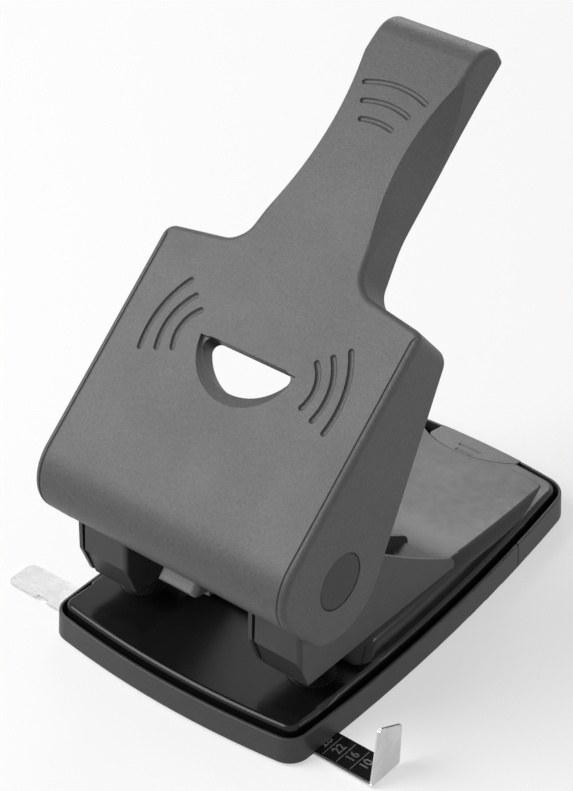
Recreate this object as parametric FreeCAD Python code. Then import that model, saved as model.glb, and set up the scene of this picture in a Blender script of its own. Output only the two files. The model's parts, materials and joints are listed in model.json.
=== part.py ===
"""Heavy-duty two-hole paper punch with a long lever, as separate pieces.

Row frame, in millimetres: X to the right, Y to the back, Z up. The origin is on the table, under the
middle of the base. The lever is drawn raised, which is its resting place.

Lever pieces are drawn in a frame of their own, then turned into place: X as before, S along the cover's
front face from the pivot towards the handle's end, N square to that face and outward, with the pivot at
S = N = 0.
"""

import FreeCAD, Part
import math
import os

V = FreeCAD.Vector
X_AXIS = V(1, 0, 0)
Z_AXIS = V(0, 0, 1)

# ---- driving dimensions -------------------------------------------------------------------------------

# filing holes
HOLE_SPACING = 80.0
HOLE_RADIUS = 3.0
HOLE_FROM_EDGE = 12.0
STOP_Y = -48.0
PIN_Y = STOP_Y - HOLE_FROM_EDGE
SIDES = {"left": -HOLE_SPACING / 2, "right": HOLE_SPACING / 2}

# base
BASE_FRONT_Y = -96.0
BASE_REAR_Y = 96.0
FRONT_CORNER_X = 58.0
REAR_CORNER_X = 48.0
SIDE_BULGE_X = 57.7
FRONT_BOW = 4.6
REAR_BOW = 4.0
FRONT_CORNER_R = 8.5
REAR_CORNER_R = 12.0

# plastic tray and its rear door
TRAY_Z = 1.0
RIM_TOP_Z = 12.0
RIM_DRAFT = 0.5
RIM_WALL = 1.2
RIM_EDGE_R = 0.5
FLOOR = 2.0
DOOR_Y = 49.5
DOOR_GAP = 0.5
DOOR_AXIS_Y = DOOR_Y + 1.7
DOOR_AXIS_Z = TRAY_Z + 1.2
DOOR_PIN_R = 0.8

# pressed steel base plate
SHEET = 1.8
PLATE_GAP = 2.0
PLATE_BOTTOM_Z = 4.5
PLATE_EDGE_R = 1.9
LANDING_Z = 15.0
PLATEAU_Z = 25.5
PLATEAU_ROLL_R = 4.5
PLATEAU_CORNER_R = 6.0
PLATE_INSET = RIM_DRAFT + RIM_WALL + PLATE_GAP
PLATEAU_INSET = PLATE_INSET + 1.8
STOP_LEAN = 0.38
ROOF_BREAK_Y = 15.0
ROOF_FALL = 0.165
ROOF_BEND_R = 110.0
NOTCH_Y = 112.2
NOTCH_R = 32.0

# pivot and lever
PIVOT_Y = -66.0
PIVOT_Z = 68.0
LEVER_ANGLE = 41.6
SHAFT_R = 4.0
RUNNING_FIT = 0.05
COVER_HALF = 56.8
COVER_WALL = 2.6
FACE_N = 30.7
SHOULDER_S = 84.0
BEND_S = 112.0
BEND_R = 506.0
TIP_S = 188.2
TIP_ROLL_R = 12.0
HANDLE_HALF = 21.5
CAP_R = 10.7

# punch heads
BRACKET_HALF = 11.5
BRACKET_SHEET = 1.6
CAM_RADIUS = 18.5
CAM_START = 5.0
STROKE_ANGLE = math.radians(37.0)
GUIDE_TOP_Z = 30.0
GUIDE_FOOT_Z = 23.6
NOSE_Z = 22.6
CARRIAGE_Z = 48.0
PIN_TIP_Z = 24.2

# paper guide
STRIP_LEFT_X = -91.0
STRIP_RIGHT_X = 84.0
STRIP_FRONT_Y = -81.5
STRIP_WIDTH = 13.8
STRIP_Z = 1.15
STRIP_T = 0.8
CHANNEL_TOP_Z = 2.2
CHANNEL_WALL = 1.2
STRIP_PLAY = 0.2

OUT = "parts"


# ---- drawing helpers ----------------------------------------------------------------------------------


def box(x0, x1, y0, y1, z0, z1):
    return Part.makeBox(x1 - x0, y1 - y0, z1 - z0, V(x0, y0, z0))


def rod(radius, start, end):
    way = end - start
    return Part.makeCylinder(radius, way.Length, start, way)


def upright(radius, x, y, z0, z1):
    return rod(radius, V(x, y, z0), V(x, y, z1))


def across(radius, x0, x1, y, z):
    return rod(radius, V(x0, y, z), V(x1, y, z))


def line(a, b):
    return Part.makeLine(a, b)


def arc(a, b, c):
    return Part.Arc(a, b, c).toShape()


def yz(points):
    """A list of (y, z) pairs as points in the plane x = 0."""
    return [V(0, y, z) for y, z in points]


def polygon(points):
    return Part.Face(Part.makePolygon(points + points[:1]))


def slab(face, x0, x1):
    """A face in the plane x = 0, as a solid from x0 to x1."""
    moved = face.translated(V(x0, 0, 0))
    return moved.extrude(V(x1 - x0, 0, 0))


def fuse(shapes):
    first = shapes[0]
    return first.multiFuse(shapes[1:]).removeSplitter()


def cut(shape, tools):
    for tool in tools:
        shape = shape.cut(tool)
    return shape


def fillet(shape, radius, choose):
    edges = [e for e in shape.Edges if choose(e)]
    return shape.makeFillet(radius, edges)


def is_upright(edge):
    a, b = edge.Vertexes[0].Point, edge.Vertexes[-1].Point
    return abs(a.x - b.x) < 1e-4 and abs(a.y - b.y) < 1e-4 and abs(a.z - b.z) > 0.5


def at_height(z):
    return lambda e: abs(e.BoundBox.ZMin - z) < 1e-3 and abs(e.BoundBox.ZMax - z) < 1e-3


def lever_to_row(shape):
    placed = shape.copy()
    placed.rotate(V(0, 0, 0), X_AXIS, LEVER_ANGLE)
    placed.translate(V(0, PIVOT_Y, PIVOT_Z))
    return placed


def at_pivot(points):
    """A list of (y, z) pairs counted from the pivot, as points of the row frame."""
    return [V(0, PIVOT_Y + y, PIVOT_Z + z) for y, z in points]


# ---- base ---------------------------------------------------------------------------------------------


# turns each large disc about its own axis, so that its seam stays off the base's outline
SEAM_TURN = 45


def base_circles():
    """The four large circles whose arcs bound the base seen from above."""
    front_y = BASE_FRONT_Y + FRONT_BOW
    rear_y = BASE_REAR_Y - REAR_BOW
    fl, fr = V(-FRONT_CORNER_X, front_y, 0), V(FRONT_CORNER_X, front_y, 0)
    rl, rr = V(-REAR_CORNER_X, rear_y, 0), V(REAR_CORNER_X, rear_y, 0)
    return [
        Part.Circle(fl, V(0, BASE_FRONT_Y, 0), fr),
        Part.Circle(fr, V(SIDE_BULGE_X, 0, 0), rr),
        Part.Circle(rr, V(0, BASE_REAR_Y, 0), rl),
        Part.Circle(rl, V(-SIDE_BULGE_X, 0, 0), fl),
    ]


def base_block(inset, z0, z1):
    """A block with the base's outline, moved inward by inset: shallow arcs with rounded corners."""
    block = None
    for circle in base_circles():
        disc = upright(circle.Radius - inset, circle.Center.x, circle.Center.y, z0, z1)
        disc.rotate(circle.Center, Z_AXIS, SEAM_TURN)
        block = block.common(disc) if block else disc
    block = fillet(block, max(FRONT_CORNER_R - inset, 1.5), lambda e: is_upright(e) and e.CenterOfMass.y < 0)
    return fillet(block, REAR_CORNER_R - inset, lambda e: is_upright(e) and e.CenterOfMass.y > 0)


def drafted_block():
    """The tray's outside: the mould's draft narrows it from the bottom to the rim's top."""
    block = None
    for circle in base_circles():
        foot = V(circle.Center.x, circle.Center.y, TRAY_Z)
        cone = Part.makeCone(circle.Radius, circle.Radius - RIM_DRAFT, RIM_TOP_Z - TRAY_Z, foot)
        cone.rotate(foot, Z_AXIS, SEAM_TURN)
        block = block.common(cone) if block else cone
    block = fillet(block, FRONT_CORNER_R, lambda e: rises(e) and e.CenterOfMass.y < 0)
    return fillet(block, REAR_CORNER_R, lambda e: rises(e) and e.CenterOfMass.y > 0)


def rises(edge):
    """True for an edge that goes up the whole height of a block."""
    size = edge.BoundBox
    return size.ZLength > 8 and size.XLength < 8 and size.YLength < 12


def tray_shell():
    """Floor and rim of the whole plastic tray, before it is split into tray and door."""
    outside = fillet(drafted_block(), RIM_EDGE_R, at_height(RIM_TOP_Z))
    outside = fillet(outside, 0.8, at_height(TRAY_Z))
    inside = base_block(RIM_DRAFT + RIM_WALL, TRAY_Z + FLOOR, RIM_TOP_Z + 1)
    return outside.cut(inside)


FOOT_PLACES = [(0.0, 0.0)] + [(x, y) for x in (-44.0, 44.0) for y in (-54.0, 34.0)]
FOOT_R = 6.0
FOOT_RECESS = 0.6
SCREW_PLACES = [(-20.0, -55.0, LANDING_Z), (20.0, -55.0, LANDING_Z), (-28.0, 25.0, 0), (28.0, 25.0, 0)]
BOSS_R = 4.0
SCREW_R = 1.5
SCREW_HEAD_R = 3.0
SCREW_HEAD_T = 1.4


def roof_z(y):
    """Top of the plate's raised part at y."""
    return PLATEAU_Z - ROOF_FALL * max(y - ROOF_BREAK_Y, 0.0)


def boss_top(y, landing):
    return (landing or roof_z(y + BOSS_R)) - SHEET


def tray():
    front = box(-80, 80, -120, DOOR_Y - DOOR_GAP / 2, 0, 40)
    body = tray_shell().common(front)
    inside = base_block(RIM_DRAFT + RIM_WALL, 0, 40)
    pad = strip_zone(CHANNEL_WALL, TRAY_Z + 0.5, CHANNEL_TOP_Z + FLOOR).common(inside)
    bosses = [upright(BOSS_R, x, y, TRAY_Z + 1, boss_top(y, top)) for x, y, top in SCREW_PLACES]
    body = fuse([body, pad] + bosses)
    channel = strip_zone(STRIP_PLAY, 0, CHANNEL_TOP_Z)
    recesses = [upright(FOOT_R + 0.1, x, y, 0, TRAY_Z + FOOT_RECESS) for x, y in FOOT_PLACES]
    shanks = [upright(SCREW_R + 0.02, x, y, 0, 30) for x, y, top in SCREW_PLACES]
    heads = [upright(SCREW_HEAD_R + 0.2, x, y, 0, TRAY_Z + SCREW_HEAD_T) for x, y, top in SCREW_PLACES]
    knuckles = [box(x - 5.4, x + 5.4, DOOR_Y - 6, DOOR_Y + 1, 0, 5) for x in HINGES]
    body = cut(body, [channel] + recesses + shanks + heads + knuckles)
    return fuse([body] + [hinge_ear(x) for x in HINGE_EARS])


def strip_zone(margin, z0, z1):
    """A block across the whole base over the strip's place, wider than it by margin on each side."""
    return box(-80, 80, STRIP_FRONT_Y - margin, STRIP_FRONT_Y + STRIP_WIDTH + margin, z0, z1)


HINGES = (-30.0, 30.0)
HINGE_EARS = [x + d for x in HINGES for d in (-4.2, 4.2)]
EAR_T = 2.0
EAR_R = 1.15
KNUCKLE_HALF = 2.9


def hinge_ear(x):
    """One eye of the tray that carries a door pin."""
    x0, x1 = x - EAR_T / 2, x + EAR_T / 2
    arm = box(x0, x1, DOOR_Y - 7.0, DOOR_AXIS_Y, DOOR_AXIS_Z - EAR_R, DOOR_AXIS_Z + EAR_R)
    eye = across(EAR_R, x0, x1, DOOR_AXIS_Y, DOOR_AXIS_Z)
    return arm.fuse(eye).cut(across(DOOR_PIN_R + 0.02, x0 - 1, x1 + 1, DOOR_AXIS_Y, DOOR_AXIS_Z))


def feet():
    return Part.makeCompound([upright(FOOT_R, x, y, 0, TRAY_Z + FOOT_RECESS) for x, y in FOOT_PLACES])


def tray_screws():
    screws = []
    for x, y, top in SCREW_PLACES:
        head_top = TRAY_Z + SCREW_HEAD_T
        head = upright(SCREW_HEAD_R, x, y, TRAY_Z + 0.2, head_top)
        shank = upright(SCREW_R, x, y, head_top - 0.1, boss_top(y, top) - 1.0)
        cross = [
            box(x - 2, x + 2, y - 0.4, y + 0.4, 0, TRAY_Z + 0.8),
            box(x - 0.4, x + 0.4, y - 2, y + 2, 0, TRAY_Z + 0.8),
        ]
        screws.append(cut(head.fuse(shank), cross))
    return Part.makeCompound(screws)


TAB_LEFT_X = -15.5
TAB_RIGHT_X = 23.0
TAB_GAP = 0.6
TAB_GRIP_X = 3.4
TAB_SINK = 0.15


def tray_door():
    """Rear part of the tray. It swings down about two pins to let the punched chips out."""
    shell = tray_shell()
    rear = box(-80, 80, DOOR_Y + DOOR_GAP / 2, 120, 0, 40)
    body = shell.common(rear)
    reach = EAR_T / 2 + 0.3
    ears = [box(x - reach, x + reach, DOOR_Y - 2, DOOR_Y + 4, 0, 5) for x in HINGE_EARS]
    body = cut(body, ears)
    knuckles = []
    for x in HINGES:
        x0, x1 = x - KNUCKLE_HALF, x + KNUCKLE_HALF
        eye = across(EAR_R, x0, x1, DOOR_AXIS_Y, DOOR_AXIS_Z)
        arm = box(x0, x1, DOOR_AXIS_Y, DOOR_Y + 4, DOOR_AXIS_Z - EAR_R, DOOR_AXIS_Z + EAR_R)
        knuckles.append(eye.fuse(arm))
    body = fuse([body] + knuckles)
    pins = [across(DOOR_PIN_R + RUNNING_FIT, x - 7, x + 7, DOOR_AXIS_Y, DOOR_AXIS_Z) for x in HINGES]
    return cut(body, pins)


def door_tab():
    """Finger tab on the door's rear rim. It fills the notch in the plate's back edge, level with the plate."""
    tab = upright(NOTCH_R - TAB_GAP, 0, NOTCH_Y, RIM_TOP_Z, 30)
    tab = tab.common(box(TAB_LEFT_X, TAB_RIGHT_X, 60, 120, 0, 40))
    tab = tab.common(base_block(RIM_DRAFT + 0.3, 0, 40))
    tab = tab.common(falling_wedge(PLATEAU_Z, TAB_SINK))
    tab = fillet(tab, 3.0, lambda e: is_upright(e) and e.CenterOfMass.x < 0)
    return cut(tab, [tab_groove(82.6, 3.9), tab_groove(87.0, 5.4)])


def tab_groove(y, half):
    """Shallow finger groove across the tab."""
    return across(0.9, TAB_GRIP_X - half, TAB_GRIP_X + half, y, roof_z(y) - TAB_SINK + 0.4)


def door_pins():
    pins = [across(DOOR_PIN_R, x - 5.2, x + 5.2, DOOR_AXIS_Y, DOOR_AXIS_Z) for x in HINGES]
    return Part.makeCompound(pins)


def falling_wedge(level, drop):
    """All under a plane that is level at first and then falls with the plate's roof, lowered by drop."""
    bend_y = ROOF_BREAK_Y + (PLATEAU_Z - level) / ROOF_FALL
    far = 120.0
    points = [(-far, 0), (-far, level), (bend_y, level), (far, roof_z(far)), (far, 0)]
    wedge = slab(polygon(yz(points)), -80, 80)
    wedge = fillet(wedge, ROOF_BEND_R, lambda e: abs(e.CenterOfMass.y - bend_y) < 0.01)
    return wedge.translated(V(0, 0, -drop))


def is_top_edge(edge):
    """Edges round the top of a plate block, whose sides go down to PLATE_BOTTOM_Z."""
    return edge.BoundBox.ZMin > PLATE_BOTTOM_Z + 1 and not edge.BoundBox.XLength > 90


def landing_block(inset, drop):
    """The plate's whole outline, level with the landing and falling with the roof at the back."""
    return base_block(inset, PLATE_BOTTOM_Z - drop, 40).common(falling_wedge(LANDING_Z, drop))


def plateau(inset, drop):
    """The raised part of the plate behind the paper stop. drop lowers and thins it, for its inside."""
    low_z = PLATE_BOTTOM_Z - drop
    setback = drop * math.hypot(1, STOP_LEAN)
    foot = STOP_Y + setback - STOP_LEAN * (LANDING_Z - low_z)
    head = STOP_Y + setback + STOP_LEAN * (30.0 - LANDING_Z)
    stop = slab(polygon(yz([(foot, low_z), (head, 30.0), (120, 30.0), (120, low_z)])), -80, 80)
    block = stop.common(base_block(inset, low_z, 30))
    block = fillet(block, PLATEAU_CORNER_R - drop, lambda e: rises(e) and e.CenterOfMass.y < 0)
    block = block.common(falling_wedge(PLATEAU_Z, drop))
    return fillet(block, PLATEAU_ROLL_R - drop, is_top_edge)


def rivet_places():
    return [(x, y) for x in (-6.2, 6.2) for y in (-33.0, -4.0)]


def base_plate():
    low = fillet(landing_block(PLATE_INSET, 0), PLATE_EDGE_R, is_top_edge)
    body = low.fuse(plateau(PLATEAU_INSET, 0)).removeSplitter()
    hollow_low = landing_block(PLATE_INSET + SHEET, SHEET)
    hollow_high = plateau(PLATEAU_INSET + SHEET, SHEET)
    holes = [upright(BUSH_R + 0.02, x, PIN_Y, 0, 30) for x in SIDES.values()]
    screws = [upright(SCREW_R, x, y, 0, boss_top(y, top) + 1.0) for x, y, top in SCREW_PLACES]
    shanks = [upright(RIVET_R, side + x, y, 0, 40) for side in SIDES.values() for x, y in rivet_places()]
    notch = upright(NOTCH_R, 0, NOTCH_Y, 0, 40)
    return cut(body, [hollow_low, hollow_high, notch] + holes + screws + shanks)


BUSH_R = 6.5
BUSH_FLANGE_R = 9.0
RIVET_R = 1.5
RIVET_HEAD_R = 2.6


def die(x):
    body = upright(BUSH_R, x, PIN_Y, LANDING_Z - 4.5, LANDING_Z)
    flange = upright(BUSH_FLANGE_R, x, PIN_Y, LANDING_Z, LANDING_Z + 0.4)
    bore = upright(HOLE_RADIUS + RUNNING_FIT, x, PIN_Y, 0, 30)
    relief = upright(HOLE_RADIUS + 0.8, x, PIN_Y, 0, LANDING_Z - 2.0)
    return cut(body.fuse(flange), [bore, relief])


# ---- punch heads --------------------------------------------------------------------------------------

BRACKET_TIP = (-76.1, PLATEAU_Z)
FLANGE_FOOT = (-81.0, 37.7)
FLANGE_TOP = (-80.6, 70.0)
FOLD_R = 2.0
SLIT_TOP = 2.3
SLIT_FOOT = 1.2
FOOT_PLATE_T = 3.0


def bracket_side():
    """Outline of a bracket's side plate: it goes over the pivot and falls to the back in a shallow curve."""
    crown = 12.0
    a = V(0, *FLANGE_TOP)
    top = V(0, PIVOT_Y, PIVOT_Z + crown)
    front = V(0, PIVOT_Y - crown * 0.82, PIVOT_Z + crown * 0.572)
    fall = V(0, PIVOT_Y + 9.0, PIVOT_Z + 7.9)
    mid = V(0, -25.0, 50.8)
    heel = V(0, 6.4, 30.9)
    rear = V(0, 9.3, 26.6)
    edges = [
        line(V(0, *BRACKET_TIP), V(0, *FLANGE_FOOT)),
        line(V(0, *FLANGE_FOOT), a),
        line(a, front),
        arc(front, V(0, PIVOT_Y - crown * 0.4, PIVOT_Z + crown * 0.9165), top),
        arc(top, V(0, PIVOT_Y + 5.0, PIVOT_Z + 10.9), fall),
        arc(fall, mid, heel),
        arc(heel, V(0, 8.6, 28.9), rear),
        line(rear, V(0, rear.y, PLATEAU_Z)),
        line(V(0, rear.y, PLATEAU_Z), V(0, *BRACKET_TIP)),
    ]
    return Part.Face(Part.Wire(edges))


def bracket(x):
    """Folded steel bracket: two side plates, a floor, and a front flange folded from the right one."""
    outer, inner = BRACKET_HALF, BRACKET_HALF - BRACKET_SHEET
    block = slab(bracket_side(), -outer, outer)
    block = fillet(block, FOLD_R, is_fold)
    floor = box(-inner, inner, -39, 6, PLATEAU_Z, PLATEAU_Z + FOOT_PLATE_T)
    body = fuse([cut(block, [between_plates(inner), slit(inner)]), floor])
    bores = [across(SHAFT_R + 0.02, -20, 20, PIVOT_Y, PIVOT_Z)]
    bores += [upright(RIVET_R, px, py, 20, 40) for px, py in rivet_places()]
    return cut(body, bores).translated(V(x, 0, 0))


def between_plates(inner):
    """The room between the side plates. It is closed in front by the flange, and open below it."""
    far = 100.0
    foot_y, foot_z = FLANGE_FOOT
    corners = [
        (-far, PLATEAU_Z - 1),
        (-far, foot_z),
        (foot_y + BRACKET_SHEET, foot_z),
        (FLANGE_TOP[0] + BRACKET_SHEET, far),
        (far, far),
        (far, PLATEAU_Z - 1),
    ]
    return slab(polygon(yz(corners)), -inner, inner)


def slit(inner):
    """Narrow wedge left open between the flange and the left plate."""
    low, high = FLANGE_FOOT[1] - 1, FLANGE_TOP[1] + 8
    corners = [(-inner, low), (-inner + SLIT_FOOT, low), (-inner + SLIT_TOP, high), (-inner, high)]
    face = polygon([V(px, -90, pz) for px, pz in corners])
    return face.extrude(V(0, 20, 0))


def is_fold(edge):
    """The corner of the bracket's block where the right plate turns into the flange."""
    middle, size = edge.CenterOfMass, edge.BoundBox
    on_side = size.XLength < 1e-3 and middle.x > 0
    return on_side and middle.y < FLANGE_TOP[0] + 0.1 and size.ZMin > FLANGE_FOOT[1] - 0.1


def rivets(x):
    group = []
    for px, py in rivet_places():
        top = PLATEAU_Z + FOOT_PLATE_T
        under = PLATEAU_Z - SHEET
        shank = upright(RIVET_R, x + px, py, under - 0.1, top + 0.1)
        upper = Part.makeCone(RIVET_HEAD_R, 1.7, 1.1, V(x + px, py, top))
        lower = upright(RIVET_HEAD_R - 0.2, x + px, py, under - 1.0, under)
        group.append(fuse([shank, upper, lower]))
    return Part.makeCompound(group)


NOSE_R = 5.5
GUIDE_SETBACK = 1.2


def pin_guide(x):
    """Block between a bracket's plates that guides the pin and strips the paper from it."""
    inner = BRACKET_HALF - BRACKET_SHEET
    foot_y = BRACKET_TIP[0] + GUIDE_SETBACK
    head_y = FLANGE_FOOT[0] + GUIDE_SETBACK
    head_z = FLANGE_FOOT[1] - 0.4
    outline = [
        (foot_y, GUIDE_FOOT_Z),
        (head_y, head_z),
        (head_y + 2.4, head_z),
        (foot_y + 1.4, GUIDE_TOP_Z),
        (-50.5, GUIDE_TOP_Z),
        (-50.5, GUIDE_FOOT_Z),
    ]
    block = slab(polygon(yz(outline)), -inner, inner)
    nose = upright(NOSE_R, 0, PIN_Y, NOSE_Z, GUIDE_FOOT_Z + 0.1)
    bore = upright(HOLE_RADIUS + RUNNING_FIT, 0, PIN_Y, 0, 40)
    seat = upright(5.6, 0, PIN_Y, GUIDE_TOP_Z - 1.0, GUIDE_TOP_Z + 1)
    body = cut(fuse([block, nose]), [bore, seat])
    return body.translated(V(x, 0, 0))


def carriage(x):
    """Sliding block that holds a pin under the shaft. Its rear shelf is what the lever's cam presses on."""
    outline = [
        (-0.5, CARRIAGE_Z - PIVOT_Z),
        (-0.5, -12.5),
        (11.0, -12.5),
        (14.5, -CAM_START),
        (CAM_RADIUS + 5.0, -CAM_START),
        (CAM_RADIUS + 5.0, -CAM_START - 4.0),
        (13.0, CARRIAGE_Z - PIVOT_Z),
    ]
    block = slab(polygon(at_pivot(outline)), -5.2, 5.2)
    bore = upright(HOLE_RADIUS + 0.02, 0, PIN_Y, 0, CARRIAGE_Z + 6.5)
    return block.cut(bore).translated(V(x, 0, 0))


def punch_pin(x):
    """Hardened pin. The hollow across its end makes two cutting points."""
    pin = upright(HOLE_RADIUS, 0, PIN_Y, PIN_TIP_Z, CARRIAGE_Z + 6.4)
    hollow = across(4.6, -10, 10, PIN_Y, PIN_TIP_Z - 3.4)
    return pin.cut(hollow).translated(V(x, 0, 0))


COLLAR_T = 1.2


def pin_collar(x):
    ring = upright(5.4, 0, PIN_Y, CARRIAGE_Z - COLLAR_T, CARRIAGE_Z)
    return ring.cut(upright(HOLE_RADIUS + 0.02, 0, PIN_Y, 0, 60)).translated(V(x, 0, 0))


SPRING_COILS = 5.0
SPRING_R = 4.3
SPRING_WIRE_R = 0.45


def return_spring(x):
    """Coil between the guide block and the collar on the pin. Its wire has eight flats."""
    bottom = GUIDE_TOP_Z - 1.0 + SPRING_WIRE_R
    top = CARRIAGE_Z - COLLAR_T - SPRING_WIRE_R
    height = top - bottom
    helix = Part.makeHelix(height / SPRING_COILS, height, SPRING_R)
    spine = Part.Wire(helix.Edges)
    turns = [math.pi * (k + 0.5) / 4 for k in range(8)]
    ring = [V(SPRING_R + SPRING_WIRE_R * math.cos(t), 0, SPRING_WIRE_R * math.sin(t)) for t in turns]
    coil = spine.makePipeShell([Part.makePolygon(ring + ring[:1])], True, True)
    coil.translate(V(x, PIN_Y, bottom))
    return coil


def pivot_shaft():
    shaft = across(SHAFT_R, -SHAFT_END_X, SHAFT_END_X, PIVOT_Y, PIVOT_Z)
    shaft = fillet(shaft, 0.5, lambda e: e.BoundBox.XLength < 1e-3)
    grooves = [across(SHAFT_R + 1, x - 0.55, x + 0.55, PIVOT_Y, PIVOT_Z) for x in CLIP_PLACES]
    cores = [across(CLIP_BORE_R, x - 1, x + 1, PIVOT_Y, PIVOT_Z) for x in CLIP_PLACES]
    return cut(shaft, [g.cut(c) for g, c in zip(grooves, cores)])


SHAFT_END_X = 55.4
CLIP_BORE_R = 3.2
CLIP_PLACES = (-HOLE_SPACING / 2 + BRACKET_HALF + 0.6, HOLE_SPACING / 2 - BRACKET_HALF - 0.6)


def shaft_clips():
    """Two open spring clips that keep the shaft from sliding sideways."""
    clips = []
    for x in CLIP_PLACES:
        ring = across(7.0, x - 0.5, x + 0.5, PIVOT_Y, PIVOT_Z)
        mouth = box(x - 1, x + 1, PIVOT_Y - 2.4, PIVOT_Y + 2.4, PIVOT_Z - 9, PIVOT_Z)
        ring = ring.cut(across(CLIP_BORE_R, x - 1, x + 1, PIVOT_Y, PIVOT_Z))
        clips.append(ring.cut(mouth))
    return Part.makeCompound(clips)


RAIL_Z = 48.4
RAIL_T = 2.0
RAIL_FRONT_Y = -78.0
RAIL_REAR_Y = -68.0
RAIL_HALF = HOLE_SPACING / 2 - BRACKET_HALF


def cross_rail():
    """Flat rail between the two brackets, with an upturned ear at each end."""
    web = box(-RAIL_HALF, RAIL_HALF, RAIL_FRONT_Y, RAIL_REAR_Y, RAIL_Z, RAIL_Z + RAIL_T)
    ears = [
        box(-RAIL_HALF, -RAIL_HALF + RAIL_T, RAIL_FRONT_Y, RAIL_REAR_Y, RAIL_Z, RAIL_Z + 9),
        box(RAIL_HALF - RAIL_T, RAIL_HALF, RAIL_FRONT_Y, RAIL_REAR_Y, RAIL_Z, RAIL_Z + 9),
    ]
    return fuse([web] + ears)


LOCK_LEFT_X = -7.2
LOCK_RIGHT_X = 10.3
LOCK_TRAVEL = 10.0


def lock_slider():
    """Thumb slide on the rail. Its sloped nose stands out through the recess in the cover's lower edge."""
    profile = [
        (-88.1, 51.5),
        (-85.0, 55.1),
        (-82.0, 55.1),
        (-80.4, 52.4),
        (-65.6, 52.4),
        (-65.6, 46.6),
        (-80.4, 46.6),
        (-80.4, 49.0),
        (-87.6, 50.3),
    ]
    body = slab(polygon(yz(profile)), LOCK_LEFT_X, LOCK_RIGHT_X)
    body = fillet(body, 2.6, is_nose_side)
    gap = 0.2
    slot = box(-40, 40, RAIL_FRONT_Y - gap, RAIL_REAR_Y + gap, RAIL_Z - gap, RAIL_Z + RAIL_T + gap)
    return body.cut(slot)


def is_nose_side(edge):
    """The two edges between the nose's slope and its sides."""
    size = edge.BoundBox
    return size.XLength < 1e-3 and size.ZLength > 3 and size.YLength > 3 and size.YMin < -88.0


# ---- lever --------------------------------------------------------------------------------------------

END_R = 23.5
CURL_S, CURL_R = -5.5, 18.0
REAR_SLOPE = 0.413
HANDLE_BACK_N = 11.3
LIP_N = 3.7
EDGE_R = 2.2
NECK_HALF = 25.0
NECK_S = 93.0


def sn(points):
    """A list of (s, n) pairs as points of the lever frame."""
    return [V(0, s, n) for s, n in points]


def cover_side():
    """The cover seen from the side: a round end about the pivot and a rising rear edge, wide in front."""
    length = math.hypot(1, REAR_SLOPE)
    us, un = 1 / length, REAR_SLOPE / length
    touch = V(0, END_R * un, -END_R * us)
    left = V(0, CURL_S - CURL_R, 0)
    low = V(0, left.y + 5.6, -END_R + 7.5)
    waist_s = touch.y + (HANDLE_BACK_N - touch.z) / REAR_SLOPE
    waist, rise = V(0, waist_s, HANDLE_BACK_N), V(0, 140.0, HANDLE_BACK_N)
    back, far = V(0, 166.0, HANDLE_BACK_N + 0.3), V(0, TIP_S + 2, HANDLE_BACK_N - 0.8)
    edges = [
        line(V(0, left.y, FACE_N + 1), V(0, far.y, FACE_N + 1)),
        line(V(0, far.y, FACE_N + 1), far),
        arc(far, back, rise),
        line(rise, waist),
        line(waist, touch),
        arc(touch, low, left),
        line(left, V(0, left.y, FACE_N + 1)),
    ]
    return Part.Face(Part.Wire(edges))


# at the shoulder, the corner inside of it, the neck and the waist
PLAN_RADII = (5.0, 9.0, 9.0, 60.0)


def plan_points(inset):
    """Corner points of the cover seen square to its face, right half, from the bottom up to past the tip."""
    half = COVER_HALF - inset
    return [
        V(half, -60, 0),
        V(half, SHOULDER_S - inset, 0),
        V(30.0, SHOULDER_S + 4.2 - inset, 0),
        V(NECK_HALF - inset, NECK_S - inset, 0),
        V(HANDLE_HALF - inset, BEND_S, 0),
        V(HANDLE_HALF - inset, TIP_S + 10, 0),
    ]


def rounded_plan_block(inset):
    """The same outline on both sides, drawn out square to the face, with its shoulders and necks rounded."""
    right = plan_points(inset)
    left = [V(-p.x, p.y, 0) for p in reversed(right)]
    outline = polygon(right + left).translated(V(0, 0, FACE_N + 6.0))
    block = outline.extrude(V(0, 0, -FACE_N - 46.0))
    for point, radius in zip(right[1:], PLAN_RADII):
        block = block.makeFillet(max(radius - inset, 1.5), drawn_edges(block, point))
    return block


def drawn_edges(block, point):
    """The block's two edges square to the face at a point of the outline and at its mirror image."""
    found = []
    for edge in block.Edges:
        middle, size = edge.CenterOfMass, edge.BoundBox
        if size.XLength < 1e-3 and size.YLength < 1e-3:
            if abs(abs(middle.x) - point.x) < 0.5 and abs(middle.y - point.y) < 0.5:
                found.append(edge)
    return found


SCOOP_R = 125.0
SCOOP_S = 141.0
SCOOP_HALF = 16.3
SCOOP_DEPTH = 15.5
SCOOP_LOW_S = 94.5


def scoop(sign, inset):
    """Large tilted cylinder that hollows one side of the handle into a lens-shaped facet."""
    tilt = math.atan2(HANDLE_HALF - SCOOP_HALF, SCOOP_DEPTH)
    along = V(sign * math.sin(tilt), 0, -math.cos(tilt))
    outward = V(sign * math.cos(tilt), 0, math.sin(tilt))
    nearest = V(sign * SCOOP_HALF, SCOOP_S, face_height(SCOOP_S))
    start = nearest + outward * SCOOP_R - along * 10.0
    tool = Part.makeCylinder(SCOOP_R + inset, 60.0, start, along)
    return tool.common(box(-80, 80, SCOOP_LOW_S - inset, TIP_S + 20, -60, 60))


def face_height(s):
    """N of the cover's front at s: flat up to BEND_S, and from there bending slowly away."""
    past = max(s - BEND_S, 0.0)
    return FACE_N - BEND_R + math.sqrt(BEND_R ** 2 - past ** 2)


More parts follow.
